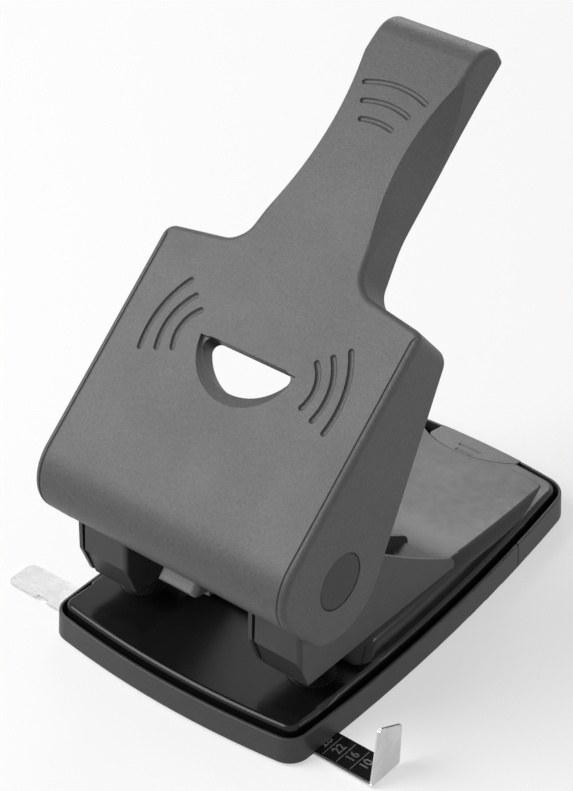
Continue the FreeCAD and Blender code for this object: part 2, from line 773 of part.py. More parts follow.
def curl_profile(inset):
    """Side view of the cover's front: its curl, its slight bend and its rolled tip."""
    curl, bend, roll = CURL_R - inset, BEND_R - inset, TIP_ROLL_R - inset
    face_n = FACE_N - inset
    half_turn = math.sqrt(0.5)
    left = V(0, CURL_S - curl, face_n - curl)
    middle = V(0, CURL_S - curl * half_turn, face_n - curl + curl * half_turn)
    bend_centre = V(0, BEND_S, FACE_N - BEND_R)
    roll_run = TIP_S - TIP_ROLL_R - BEND_S
    roll_rise = math.sqrt((BEND_R - TIP_ROLL_R) ** 2 - roll_run ** 2)
    roll_centre = bend_centre + V(0, roll_run, roll_rise)
    way = V(0, roll_run, roll_rise).normalize()
    crest, tip = roll_centre + way * roll, roll_centre + V(0, roll, 0)
    half_bend = (way + Z_AXIS).normalize()
    half_roll = (way + V(0, 1, 0)).normalize()
    low = -60.0
    under = V(0, tip.y - TIP_UNDERCUT * (tip.z - low), low)
    edges = [
        line(V(0, CURL_S, face_n), V(0, BEND_S, face_n)),
        arc(V(0, BEND_S, face_n), bend_centre + half_bend * bend, crest),
        arc(crest, roll_centre + half_roll * roll, tip),
        line(tip, under),
        line(under, V(0, left.y, low)),
        line(V(0, left.y, low), left),
        arc(left, middle, V(0, CURL_S, face_n)),
    ]
    return slab(Part.Face(Part.Wire(edges)), -80, 80)


TIP_UNDERCUT = 0.15


def cover_blank():
    """The cover as a solid, before it is hollowed."""
    form = rounded_plan_block(0).common(curl_profile(0))
    form = fillet(form, EDGE_R, front_edge)
    form = form.common(slab(cover_side(), -80, 80))
    return cut(form, [scoop(1, 0), scoop(-1, 0)])


def front_edge(edge):
    """Edges between the cover's sides and its front, from the end of the curl up to the rolled tip."""
    size, middle = edge.BoundBox, edge.CenterOfMass
    if size.XLength > 60 or size.ZMax < 0:
        return False
    on_face = size.ZLength < 1e-3 and abs(middle.z - FACE_N) < 1e-3
    on_curl = size.XLength < 1.0 and size.YMax < CURL_S + 0.01
    on_handle = size.XLength < 1.0 and size.YMin > BEND_S - 0.01 and not is_upright(edge)
    return on_face or on_curl or on_handle


def cover_hollow():
    """Inside of the moulding, open at the back and below."""
    block = rounded_plan_block(COVER_WALL).common(curl_profile(COVER_WALL))
    return cut(block, [scoop(1, COVER_WALL), scoop(-1, COVER_WALL)])


# the hole through the cover
WINDOW_TOP_S = 53.6
WINDOW_LOW_S = 38.4
WINDOW_CHORD = 20.6
WINDOW_RISE = WINDOW_TOP_S - WINDOW_LOW_S
WINDOW_R = (WINDOW_CHORD ** 2 + WINDOW_RISE ** 2) / (2 * WINDOW_RISE)
WINDOW_DEPTH = 9.0
WINDOW_WALL = 2.0
RING_WIDTH = 4.4
RING_DEPTH = 1.6


def window_face(grow, n):
    """A half-moon with a straight upper edge, grown all round by grow."""
    centre_s = WINDOW_LOW_S + WINDOW_R
    disc = Part.makeCylinder(WINDOW_R + grow, 1, V(0, centre_s, n), Z_AXIS)
    keep = box(-40, 40, 0, WINDOW_TOP_S + grow, n - 1, n + 2)
    half_moon = disc.common(keep)
    rounded = fillet(half_moon, 3.0 + grow, is_upright)
    return min(rounded.Faces, key=lambda f: f.CenterOfMass.z)


def window_cutter():
    face = window_face(0, FACE_N - 12)
    return face.extrude(V(0, 0, 20))


def window_collar():
    face = window_face(WINDOW_WALL, FACE_N - WINDOW_DEPTH)
    return face.extrude(V(0, 0, WINDOW_DEPTH - 1.0))


def window_ring():
    """Sunken slope round the lower side of the hole, fading towards the ends of the straight edge."""
    low_s = WINDOW_LOW_S - RING_WIDTH
    rise = WINDOW_TOP_S + 1.0 - low_s
    wide_r = ((WINDOW_CHORD + 0.4) ** 2 + rise ** 2) / (2 * rise)
    floor_place = V(0, WINDOW_LOW_S + WINDOW_R, FACE_N - RING_DEPTH)
    small = Part.Wire(Part.makeCircle(WINDOW_R + 0.2, floor_place, Z_AXIS))
    large = Part.Wire(Part.makeCircle(wide_r, V(0, low_s + wide_r, FACE_N + 0.05), Z_AXIS))
    cone = Part.makeLoft([small, large], True, True)
    return cone.common(box(-40, 40, 0, WINDOW_TOP_S - 0.5, FACE_N - 5, FACE_N + 5))


# grooves that flank the hole and cross the handle
GROOVE_R = 1.1
GROOVE_LIFT = 0.15
SIDE_ARCS = (
    ((41.1, 39.9), (41.2, 55.0), (35.5, 68.7)),
    ((34.8, 42.2), (35.6, 53.6), (30.5, 64.4)),
    ((28.8, 44.5), (30.0, 52.6), (25.8, 60.4)),
)
GRIP_ARCS = ((158.0, 13.2, 2.6), (151.3, 9.8, 1.7), (144.8, 6.6, 0.9))


def groove(a, b, c):
    """Round-bottomed groove along an arc through three points of the cover's face."""
    lift = GROOVE_R * GROOVE_LIFT
    p, q, r = (V(x, s, face_height(s) + lift) for x, s in (a, b, c))
    path = Part.Wire([arc(p, q, r)])
    curve = path.Edges[0]
    start = curve.tangentAt(curve.FirstParameter)
    ring = Part.Wire(Part.makeCircle(GROOVE_R, p, start))
    tube = path.makePipeShell([ring], True, True)
    return fuse([tube, Part.makeSphere(GROOVE_R, p), Part.makeSphere(GROOVE_R, r)])


BEAD_WIDTH = 2.7
BEAD_GROOVE_R = 0.42
BEAD_TOP_S = 79.6


def bead_groove(sign):
    """Fine groove that sets off the rounded edge down one side of the face and round the curl."""
    x = sign * (COVER_HALF - BEAD_WIDTH)
    turn_x = sign * COVER_HALF
    half_turn = math.sqrt(0.5)
    start = V(turn_x, BEAD_TOP_S + BEAD_WIDTH, FACE_N)
    bend = V(turn_x - sign * BEAD_WIDTH * half_turn, BEAD_TOP_S + BEAD_WIDTH * half_turn, FACE_N)
    top, foot = V(x, BEAD_TOP_S, FACE_N), V(x, CURL_S, FACE_N)
    curl = V(x, CURL_S - CURL_R * half_turn, FACE_N - CURL_R * (1 - half_turn))
    low = V(x, CURL_S - CURL_R, FACE_N - CURL_R)
    path = Part.Wire([arc(start, bend, top), line(top, foot), arc(foot, curl, low)])
    ring = Part.Wire(Part.makeCircle(BEAD_GROOVE_R, start, X_AXIS))
    return path.makePipeShell([ring], True, True)


def grooves():
    cuts = [bead_groove(-1), bead_groove(1)]
    for sign in (-1, 1):
        for arc_points in SIDE_ARCS:
            cuts.append(groove(*[(sign * x, s) for x, s in arc_points]))
    for s, half, rise in GRIP_ARCS:
        cuts.append(groove((-half, s), (0, s + rise), (half, s)))
    return cuts


BOSS_PLACES = ((-27.0, 68.0), (27.0, 68.0), (0.0, 102.0), (0.0, 150.0))
YOKE_TOP_N = 24.6
YOKE_T = 3.0


# the gap in the cover's lower edge for the thumb slide
RECESS_RISE = 2.0
RECESS_POINTS = (
    (LOCK_LEFT_X - 0.6, 0.0),
    (LOCK_LEFT_X + 0.2, RECESS_RISE),
    (LOCK_RIGHT_X + 0.5 * LOCK_TRAVEL, RECESS_RISE),
    (LOCK_RIGHT_X + LOCK_TRAVEL + 1.2, 0.0),
)


def slide_recess():
    low_n = LIP_N - 3.0
    rim = [V(px, 0, LIP_N + pn) for px, pn in RECESS_POINTS]
    foot = [V(rim[-1].x, 0, low_n), V(rim[0].x, 0, low_n)]
    return polygon(rim + foot).translated(V(0, -40, 0)).extrude(V(0, 25, 0))


def lever_cover():
    """Moulded cover and handle. Its ears turn on the caps, and bosses inside take the yoke's screws."""
    shell = cover_blank().cut(cover_hollow())
    bosses = [rod(3.6, V(x, s, YOKE_TOP_N), V(x, s, face_height(s) - 1.5)) for x, s in BOSS_PLACES]
    shell = fuse([shell, window_collar()] + bosses)
    ear_x = COVER_HALF - COVER_WALL - 0.3
    below_lip = box(-ear_x, ear_x, -40, -10, -40, LIP_N)
    caps = [across(CAP_R + 0.2, -80, 80, 0, 0)]
    pilot = [rod(1.3, V(x, s, YOKE_TOP_N - 1), V(x, s, face_height(s) - 2.2)) for x, s in BOSS_PLACES]
    shell = cut(shell, [window_cutter(), window_ring(), below_lip, slide_recess()] + caps + pilot)
    return lever_to_row(cut(shell, grooves()))


def involute(roll):
    """Point of the cam's working edge, counted from the pivot in the row frame."""
    start = CAM_START / CAM_RADIUS
    turn = roll - start
    y = math.cos(turn) + roll * math.sin(turn)
    z = math.sin(turn) - roll * math.cos(turn)
    return V(0, PIVOT_Y + CAM_RADIUS * y, PIVOT_Z + CAM_RADIUS * z)


HUB_R = 9.0
FINGER_HALF_X = 2.5


def cam_finger():
    """Plate finger whose lower edge is an involute, so that the pin moves evenly with the lever."""
    last_roll = CAM_START / CAM_RADIUS + STROKE_ANGLE + 0.08
    steps = 6
    rolls = [last_roll * i / steps for i in range(steps + 1)]
    curve = Part.BSplineCurve()
    points = [involute(r) for r in rolls]
    curve.interpolate(points)
    hub_low = V(0, PIVOT_Y + HUB_R * math.sin(0.45), PIVOT_Z - HUB_R * math.cos(0.45))
    hub_high = V(0, PIVOT_Y + HUB_R * 0.3, PIVOT_Z + HUB_R * 0.8)
    heel = points[-1] + V(0, 0.6, 3.0)
    throat = V(0, PIVOT_Y + 13.6, PIVOT_Z - 4.2)
    edges = [
        line(hub_low, throat),
        line(throat, points[0]),
        curve.toShape(),
        line(points[-1], heel),
        line(heel, hub_high),
        line(hub_high, hub_low),
    ]
    finger = slab(Part.Face(Part.Wire(edges)), -FINGER_HALF_X, FINGER_HALF_X)
    hub = across(HUB_R, -FINGER_HALF_X - 2, FINGER_HALF_X + 2, PIVOT_Y, PIVOT_Z)
    return finger.fuse(hub)


def yoke_arm():
    """Side arm of the yoke, in the lever frame."""
    outline = [(-5.0, 7.0), (12.0, YOKE_TOP_N), (78.0, YOKE_TOP_N), (78.0, 15.0), (30.0, 0.0), (7.0, -5.0)]
    return slab(polygon(sn(outline)), -FINGER_HALF_X, FINGER_HALF_X)


SPINE_HALF = 8.0
SPINE_END_S = 160.0


def lever_yoke():
    """Steel yoke inside the cover: two arms with cam fingers, a bridge and a channel up the handle."""
    parts = []
    for x in SIDES.values():
        parts.append(cam_finger().translated(V(x, 0, 0)))
        parts.append(lever_to_row(yoke_arm()).translated(V(x, 0, 0)))
    reach = HOLE_SPACING / 2 + FINGER_HALF_X
    low_n = YOKE_TOP_N - YOKE_T
    bridge = box(-reach, reach, 58, 78, low_n, YOKE_TOP_N)
    spine = box(-SPINE_HALF, SPINE_HALF, 70, SPINE_END_S, low_n, YOKE_TOP_N)
    lips = [
        box(-SPINE_HALF, -SPINE_HALF + 2, 70, SPINE_END_S, low_n - 5, YOKE_TOP_N),
        box(SPINE_HALF - 2, SPINE_HALF, 70, SPINE_END_S, low_n - 5, YOKE_TOP_N),
    ]
    holes = [rod(SCREW_R + 0.02, V(x, s, 0), V(x, s, 40)) for x, s in BOSS_PLACES]
    frame = cut(fuse([bridge, spine] + lips), holes)
    parts.append(lever_to_row(frame))
    bore = across(SHAFT_R + RUNNING_FIT, -80, 80, PIVOT_Y, PIVOT_Z)
    return fuse(parts).cut(bore)


def yoke_screws():
    screws = []
    low_n = YOKE_TOP_N - YOKE_T
    for x, s in BOSS_PLACES:
        head = Part.makeCone(2.4, 3.0, 1.8, V(x, s, low_n - 1.8))
        shank = rod(1.28, V(x, s, low_n - 0.1), V(x, s, face_height(s) - 2.6))
        screws.append(head.fuse(shank))
    return lever_to_row(Part.makeCompound(screws))


CAP_INNER_X = 53.7
CAP_OUTER_X = 56.7


def pivot_cap(sign):
    """Round cap in the cover's ear. It runs on the shaft's end."""
    cap = across(CAP_R, sign * CAP_INNER_X, sign * CAP_OUTER_X, PIVOT_Y, PIVOT_Z)
    cap = fillet(cap, 0.5, lambda e: abs(e.CenterOfMass.x - sign * CAP_OUTER_X) < 1e-3)
    inner_x, end_x = sign * (CAP_INNER_X - 1), sign * (SHAFT_END_X + 0.1)
    return cap.cut(across(SHAFT_R + RUNNING_FIT, inner_x, end_x, PIVOT_Y, PIVOT_Z))


# ---- paper guide --------------------------------------------------------------------------------------

STRIP_NOTCH_X = (-76.0, -70.5)
STRIP_NOTCH_DEPTH = 1.6
STOP_HEIGHT = 25.2
STOP_REAR_HEIGHT = 18.6


def paper_guide():
    """Steel strip that slides under the tray, with an upright stop at its right end."""
    y0, y1 = STRIP_FRONT_Y, STRIP_FRONT_Y + STRIP_WIDTH
    top = STRIP_Z + STRIP_T
    strip = box(STRIP_LEFT_X, STRIP_RIGHT_X, y0, y1, STRIP_Z, top)
    strip = fillet(strip, 3.0, lambda e: is_upright_thin(e) and e.CenterOfMass.x < 0)
    stop = slab(
        polygon(yz([(y0, STRIP_Z), (y0 + 3.6, STOP_HEIGHT), (y1 - 0.4, STOP_REAR_HEIGHT), (y1, STRIP_Z)])),
        STRIP_RIGHT_X - STRIP_T,
        STRIP_RIGHT_X,
    )
    stop = fillet(stop, 1.5, lambda e: e.CenterOfMass.z > 15 and e.BoundBox.XLength > 0.5)
    x0, x1 = STRIP_NOTCH_X
    notch = box(x0, x1, y0 - 1, y0 + STRIP_NOTCH_DEPTH, 0, 5)
    return fuse([strip, stop]).cut(notch)


def is_upright_thin(edge):
    box_ = edge.BoundBox
    return box_.XLength < 1e-3 and box_.YLength < 1e-3


RETAINER_PLACES = (-36.0, 36.0)
RETAINER_T = 0.6


def guide_retainers():
    """Thin plates under the tray that keep the strip in its channel."""
    plates = []
    y0, y1 = STRIP_FRONT_Y - 4, STRIP_FRONT_Y + STRIP_WIDTH + 4
    for x in RETAINER_PLACES:
        plate = box(x - 9, x + 9, y0, y1, TRAY_Z - RETAINER_T, TRAY_Z)
        plates.append(fillet(plate, 2.0, is_upright_thin))
    return Part.makeCompound(plates)


# ---- all pieces ---------------------------------------------------------------------------------------


def pieces():
    made = {
        "tray": tray(),
        "tray_door": tray_door(),
        "door_tab": door_tab(),
        "door_pins": door_pins(),
        "rubber_feet": feet(),
        "tray_screws": tray_screws(),
        "base_plate": base_plate(),
        "pivot_shaft": pivot_shaft(),
        "shaft_clips": shaft_clips(),
        "cross_rail": cross_rail(),
        "lock_slider": lock_slider(),
        "lever_cover": lever_cover(),
        "lever_yoke": lever_yoke(),
        "yoke_screws": yoke_screws(),
        "paper_guide": paper_guide(),
        "guide_retainers": guide_retainers(),
        "pivot_cap_left": pivot_cap(-1),
        "pivot_cap_right": pivot_cap(1),
    }
    for side, x in SIDES.items():
        made["die_" + side] = die(x)
        made["bracket_" + side] = bracket(x)
        made["bracket_rivets_" + side] = rivets(x)
        made["pin_guide_" + side] = pin_guide(x)
        made["carriage_" + side] = carriage(x)
        made["punch_pin_" + side] = punch_pin(x)
        made["pin_collar_" + side] = pin_collar(x)
        made["return_spring_" + side] = return_spring(x)
    return made


def main():
    os.makedirs(OUT, exist_ok=True)
    for name, shape in pieces().items():
        solids = shape.Solids
        print(name, len(solids), "solids", round(shape.Volume / 1000, 2), "cm3", shape.isValid())
        shape.exportStep(os.path.join(OUT, name + ".step"))


main()
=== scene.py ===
import json
import math

import bmesh
import bpy
from mathutils import Matrix, Vector


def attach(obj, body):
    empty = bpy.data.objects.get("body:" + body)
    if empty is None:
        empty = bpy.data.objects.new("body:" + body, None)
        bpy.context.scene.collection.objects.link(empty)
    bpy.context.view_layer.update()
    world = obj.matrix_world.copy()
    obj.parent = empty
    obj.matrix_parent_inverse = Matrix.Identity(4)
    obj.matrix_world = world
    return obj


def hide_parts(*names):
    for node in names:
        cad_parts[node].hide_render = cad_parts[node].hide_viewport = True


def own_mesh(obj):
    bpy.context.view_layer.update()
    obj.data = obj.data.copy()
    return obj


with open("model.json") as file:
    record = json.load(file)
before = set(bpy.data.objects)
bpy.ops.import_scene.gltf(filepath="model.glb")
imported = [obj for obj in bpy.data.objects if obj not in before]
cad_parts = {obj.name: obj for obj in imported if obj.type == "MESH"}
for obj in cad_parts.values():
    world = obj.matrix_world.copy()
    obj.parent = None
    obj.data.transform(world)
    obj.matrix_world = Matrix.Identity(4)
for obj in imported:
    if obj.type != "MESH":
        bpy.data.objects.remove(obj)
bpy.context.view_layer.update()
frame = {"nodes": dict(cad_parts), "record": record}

# Heavy-duty two-hole paper punch: finishes, return springs, markings and studio.
# Lengths are in metres, in the row frame.

MM = 0.001


def add_object(name, data):
    """A new object in the scene."""
    obj = bpy.data.objects.new(name, data)
    bpy.context.scene.collection.objects.link(obj)
    return obj


# ---- camera, fitted to the photograph ----------------------------------------------------------------------

CAMERA_PLACE = (0.4560, -0.5853, 0.5996)
CAMERA_AZIMUTH = 39.17
CAMERA_ELEVATION = 34.79
CAMERA_ROLL = 0.27
LENS_MM = 113.24
SENSOR_MM = 36.0


def add_camera():
    data = bpy.data.cameras.new("camera")
    data.lens = LENS_MM
    data.sensor_width = SENSOR_MM
    data.sensor_fit = "AUTO"
    camera = add_object("camera", data)
    turn = Matrix.Rotation(math.radians(CAMERA_AZIMUTH), 4, "Z")
    tilt = Matrix.Rotation(math.radians(90.0 - CAMERA_ELEVATION), 4, "X")
    roll = Matrix.Rotation(math.radians(CAMERA_ROLL), 4, "Z")
    camera.matrix_world = Matrix.Translation(CAMERA_PLACE) @ turn @ tilt @ roll
    bpy.context.scene.camera = camera


# ---- material nodes ----------------------------------------------------------------------------------------

BEVEL_SAMPLES = 6
# cosine between a face's normal and its rounded normal, on flat faces and on sharp edges
FLAT_COSINE, EDGE_COSINE = 0.985, 0.8


def grey(value):
    return (value, value, value)


class Nodes:
    """A node material with a Principled shader, and short calls for the nodes that feed it."""

    def __init__(self, name):
        self.material = bpy.data.materials.new(name)
        self.material.use_nodes = True
        self.tree = self.material.node_tree
        self.shader = self.tree.nodes["Principled BSDF"]
        self.place = self.add("ShaderNodeTexCoord").outputs["Object"]

    def add(self, kind, **settings):
        node = self.tree.nodes.new(kind)
        for key, value in settings.items():
            setattr(node, key, value)
        return node

    def link(self, a, b):
        self.tree.links.new(a, b)

    def set(self, **values):
        for key, value in values.items():
            self.shader.inputs[key.replace("_", " ")].default_value = value

    def noise(self, size, detail, roughness=0.55, stretch=None):
        """Noise whose features are about size metres across. stretch scales the place along each axis."""
        node = self.add("ShaderNodeTexNoise")
        node.inputs["Scale"].default_value = 1.0 / size
        node.inputs["Detail"].default_value = detail
        node.inputs["Roughness"].default_value = roughness
        place = self.place
        if stretch:
            mapping = self.add("ShaderNodeMapping")
            mapping.inputs["Scale"].default_value = stretch
            self.link(place, mapping.inputs["Vector"])
            place = mapping.outputs["Vector"]
        self.link(place, node.inputs["Vector"])
        return node.outputs["Fac"]

    def ramp(self, value, low, high, start=0.3, end=0.7):
        """value from start to end becomes low to high."""
        node = self.add("ShaderNodeMapRange")
        node.inputs["From Min"].default_value = start
        node.inputs["From Max"].default_value = end
        node.inputs["To Min"].default_value = low
        node.inputs["To Max"].default_value = high
        self.link(value, node.inputs["Value"])
        return node.outputs["Result"]

    def spread(self, noise, middle, below, above):
        """Noise as a number from middle - below to middle + above."""
        return self.ramp(noise, middle - below, middle + above)

    def math(self, operation, a, b):
        node = self.add("ShaderNodeMath", operation=operation)
        for socket, value in zip(node.inputs, (a, b)):
            if isinstance(value, float):
                socket.default_value = value
            else:
                self.link(value, socket)
        return node.outputs[0]

    def blend(self, value, dark, light):
        """Colour between dark and light by value. Each is a colour or another node's output."""
        node = self.add("ShaderNodeMix", data_type="RGBA")
        for socket, colour in ((node.inputs[6], dark), (node.inputs[7], light)):
            if isinstance(colour, tuple):
                socket.default_value = (*colour, 1)
            else:
                self.link(colour, socket)
        self.link(value, node.inputs[0])
        return node.outputs[2]

    def mottled(self, noise, dark, light, **span):
        """Grey from dark to light by noise. span is the ramp's start and end."""
        return self.blend(self.ramp(noise, 0.0, 1.0, **span), grey(dark), grey(light))

    def worn(self, base, edge, share, pale):
        """Colour base with this share of a pale grey over it where edge is 1."""
        return self.blend(self.math("MULTIPLY", edge, share), base, grey(pale))

    def colour(self, value):
        self.link(value, self.shader.inputs["Base Color"])

    def roughness(self, value):
        self.link(value, self.shader.inputs["Roughness"])

    def bump(self, height, distance, strength, under=None):
        node = self.add("ShaderNodeBump")
        node.inputs["Strength"].default_value = strength
        node.inputs["Distance"].default_value = distance
        self.link(height, node.inputs["Height"])
        if under is not None:
            self.link(under, node.inputs["Normal"])
        self.link(node.outputs["Normal"], self.shader.inputs["Normal"])

    def rounded(self, radius):
        """Normal with every edge rounded to radius."""
        bevel = self.add("ShaderNodeBevel", samples=BEVEL_SAMPLES)
        bevel.inputs["Radius"].default_value = radius
        return bevel.outputs["Normal"]

    def edges(self, radius):
        """1 on corners and edges sharper than radius, 0 on flat and gently curved faces."""
        plain = self.add("ShaderNodeNewGeometry").outputs["Normal"]
        dot = self.add("ShaderNodeVectorMath", operation="DOT_PRODUCT")
        self.link(self.rounded(radius), dot.inputs[0])
        self.link(plain, dot.inputs[1])
        return self.ramp(dot.outputs["Value"], 0.0, 1.0, FLAT_COSINE, EDGE_COSINE)


# ---- plastics ----------------------------------------------------------------------------------------------

# grey, grain size, grain depth, roughness
PLASTICS = {
    "lever_plastic": (0.062, 0.5 * MM, 0.13 * MM, 0.47),
    "cap_plastic": (0.014, 0.45 * MM, 0.05 * MM, 0.48),
    "black_plastic": (0.03, 0.4 * MM, 0.03 * MM, 0.45),
    "tab_plastic": (0.14, 0.4 * MM, 0.03 * MM, 0.5),
    "slider_plastic": (0.09, 0.4 * MM, 0.03 * MM, 0.42),
}
PLASTIC_CLOUD = 26.0 * MM
PLASTIC_EDGE_R = 0.5 * MM
PLASTIC_CONTRAST = 0.15
# the coarse grain's size and height over the fine grain's
COARSE_SIZE, COARSE_HEIGHT = 2.2, 0.6
# rubbed edges: how much paler, how much of that shows, how much smoother
RUBBED_PALE, RUBBED_SHARE, RUBBED_SMOOTH = 1.7, 0.2, 0.1


def grained_plastic(name, value, grain, depth, roughness):
    """Moulded plastic with a spark-eroded grain of the given size and depth, rubbed smoother on its edges."""
    n = Nodes(name)
    cloud = n.noise(PLASTIC_CLOUD, detail=2.0)
    coarse = n.noise(grain * COARSE_SIZE, detail=2.0)
    fine = n.noise(grain, detail=3.0, roughness=0.65)
    rubbed = n.edges(PLASTIC_EDGE_R)
    patchy = n.mottled(coarse, value * (1 - PLASTIC_CONTRAST), value * (1 + PLASTIC_CONTRAST))
    n.colour(n.worn(patchy, rubbed, RUBBED_SHARE, value * RUBBED_PALE))
    grainy = n.spread(fine, roughness, below=0.07, above=0.08)
    clouded = n.math("ADD", grainy, n.spread(cloud, 0.0, below=0.03, above=0.03))
    n.roughness(n.math("SUBTRACT", clouded, n.math("MULTIPLY", rubbed, RUBBED_SMOOTH)))
    height = n.math("ADD", n.math("MULTIPLY", coarse, COARSE_HEIGHT), fine)
    n.bump(height, depth, strength=0.8, under=n.rounded(PLASTIC_EDGE_R))
    n.set(Specular_IOR_Level=0.4)
    return n.material


# ---- paints ------------------------------------------------------------------------------------------------

# grey, roughness
GLOSS_PAINTS = {"black_gloss_paint": (0.006, 0.2)}
GLOSS_PEEL, GLOSS_PEEL_DEPTH = 3.5 * MM, 0.02 * MM
GLOSS_DUST, DUST_PALE = 0.25 * MM, 2.2
GLOSS_HANDLED = 30.0 * MM
GLOSS_EDGE_R, GLOSS_WORN_SHARE, GLOSS_WORN_PALE = 0.4 * MM, 0.4, 3.0

# grey, roughness
SATIN_PAINTS = {"dark_paint": (0.03, 0.38), "blued_steel": (0.012, 0.26)}
SATIN_PEEL, SATIN_PEEL_DEPTH = 0.5 * MM, 0.03 * MM
SATIN_PATCH, SATIN_CONTRAST = 9.0 * MM, 0.15
SATIN_EDGE_R, SATIN_WORN_SHARE, SATIN_WORN_PALE = 0.35 * MM, 0.6, 2.6


def gloss_paint(name, value, roughness):
    """Stoved paint with a faint orange peel, thinner on its edges."""
    n = Nodes(name)
    peel = n.noise(GLOSS_PEEL, detail=1.0)
    dust = n.noise(GLOSS_DUST, detail=2.0)
    handled = n.noise(GLOSS_HANDLED, detail=3.0)
    specks = n.mottled(dust, value, value * DUST_PALE, start=0.66, end=0.78)
    n.colour(n.worn(specks, n.edges(GLOSS_EDGE_R), GLOSS_WORN_SHARE, value * GLOSS_WORN_PALE))
    smooth = n.spread(peel, roughness, below=0.02, above=0.03)
    n.roughness(n.math("ADD", smooth, n.spread(handled, 0.0, below=0.03, above=0.04)))
    n.bump(peel, GLOSS_PEEL_DEPTH, strength=0.35)
    n.set(Specular_IOR_Level=0.25)
    return n.material


def satin_paint(name, value, roughness):
    """Satin coat with a fine peel and slightly paler edges."""
    n = Nodes(name)
    peel = n.noise(SATIN_PEEL, detail=2.0)
    patches = n.noise(SATIN_PATCH, detail=2.0)
    clouded = n.mottled(patches, value * (1 - SATIN_CONTRAST), value * (1 + SATIN_CONTRAST))
    n.colour(n.worn(clouded, n.edges(SATIN_EDGE_R), SATIN_WORN_SHARE, value * SATIN_WORN_PALE))
    n.roughness(n.spread(peel, roughness, below=0.05, above=0.05))
    n.bump(peel, SATIN_PEEL_DEPTH, strength=0.5)
    n.set(Specular_IOR_Level=0.4)
    return n.material


# ---- steels and rubber -------------------------------------------------------------------------------------

# grey, roughness, stretch of the scratches along each axis
STEELS = {
    "hardened_steel": (0.5, 0.28, None),
    "zinc_steel": (0.58, 0.36, None),
    "strip_steel": (0.64, 0.24, (0.06, 1.0, 1.0)),
}
SCRATCH, SCRATCH_DEPTH = 0.2 * MM, 0.006 * MM
STEEL_CLOUD = 6.0 * MM
STEEL_DARK, STEEL_LIGHT = 0.92, 1.05
RUBBER_GRAIN, RUBBER_DEPTH = 0.3 * MM, 0.03 * MM
RUBBER_DARK, RUBBER_LIGHT = 0.022, 0.034


def steel(name, value, roughness, streak):
    """Bare or plated steel with fine scratches, which streak stretches along an axis."""
    n = Nodes(name)
    scratch = n.noise(SCRATCH, detail=3.0, stretch=streak)
    cloud = n.noise(STEEL_CLOUD, detail=2.0)
    n.colour(n.mottled(cloud, value * STEEL_DARK, value * STEEL_LIGHT))
    n.roughness(n.spread(scratch, roughness, below=0.06, above=0.08))
    n.bump(scratch, SCRATCH_DEPTH, strength=0.4)
    n.set(Metallic=1.0)
    return n.material


def rubber(name):
    n = Nodes(name)
    fine = n.noise(RUBBER_GRAIN, detail=2.0)
    n.colour(n.mottled(fine, RUBBER_DARK, RUBBER_LIGHT))
    n.bump(fine, RUBBER_DEPTH, strength=0.5)
    n.set(Roughness=0.8)
    return n.material


# ---- dressing ----------------------------------------------------------------------------------------------


def finishes():
    """The record's material slots, as Blender materials."""
    kinds = (
        (grained_plastic, PLASTICS),
        (gloss_paint, GLOSS_PAINTS),
        (satin_paint, SATIN_PAINTS),
        (steel, STEELS),
    )
    made = {name: kind(name, *values) for kind, rows in kinds for name, values in rows.items()}
    made["foot_rubber"] = rubber("foot_rubber")
    return made


def dress(obj, material):
    if not obj.material_slots:
        obj.data.materials.append(material)
    for place in obj.material_slots:
        place.material = material


def dress_nodes(made):
    slots = {part["node"]: part["material_slot"] for part in frame["record"]["subparts"]}
    for name, obj in frame["nodes"].items():
        dress(obj, made[slots[name]])


def add_piece(name, data, body, slot, made):
    """A piece of scene.py's own that moves with a body and takes a slot's finish."""
    piece = add_object(name, data)
    dress(piece, made[slot])
    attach(piece, body)
    return piece


# ---- return springs ----------------------------------------------------------------------------------------


def add_spring(side, made):
    """The return spring as a piece of its own, on its own mesh, that moves with the base."""
    node = f"return_spring_{side}"
    spring = add_piece(f"coil_{side}", frame["nodes"][node].data.copy(), "base", "hardened_steel", made)
    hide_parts(node)
    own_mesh(spring)


# ---- flat shapes on the paper guide ------------------------------------------------------------------------

CORNER_STEPS = 4


def rectangle(left, right, front, back):
    return [(left, front), (right, front), (right, back), (left, back)]


def rounded_outline(corners, radius):
    """The outline of a polygon that runs anticlockwise, with an arc at every corner."""
    points = []
    for i, corner in enumerate(corners):
        here = Vector(corner)
        back = (Vector(corners[i - 1]) - here).normalized()
        ahead = (Vector(corners[(i + 1) % len(corners)]) - here).normalized()
        half = back.angle(ahead) / 2
        centre = here + (back + ahead).normalized() * radius / math.sin(half)
        start = here + back * radius / math.tan(half) - centre
        for step in range(CORNER_STEPS + 1):
            turn = Matrix.Rotation((math.pi - 2 * half) * step / CORNER_STEPS, 2)
            points.append(tuple(centre + turn @ start))
    return points


def lying(x, y, z):
    """Place of a point x, y of an outline that lies flat, at height z."""
    return (x, y, z)


def upright(y, z, x):
    """Place of a point y, z of an outline that stands across the strip, at x."""
    return (x, y, z)


def prism(points, low, high, mesh, place=lying):
    """Adds to a bmesh a plate with this outline, from low to high."""
    bottom = [mesh.verts.new(place(a, b, low)) for a, b in points]
    top = [mesh.verts.new(place(a, b, high)) for a, b in points]
    mesh.faces.new(bottom[::-1])
    mesh.faces.new(top)
    for i in range(len(points)):
        j = (i + 1) % len(points)
        mesh.faces.new((bottom[i], bottom[j], top[j], top[i]))


def guide_piece(name, mesh, slot, made):
    """A piece that lies on the strip and moves with it, from a bmesh."""
    data = bpy.data.meshes.new(name)
    mesh.to_mesh(data)
    mesh.free()
    add_piece(name, data, "paper_guide", slot, made)


# ---- scale on the paper guide ------------------------------------------------------------------------------

STRIP_TOP = 1.95 * MM
STOP_X = 83.2 * MM
PRINT_THICK = 0.03 * MM

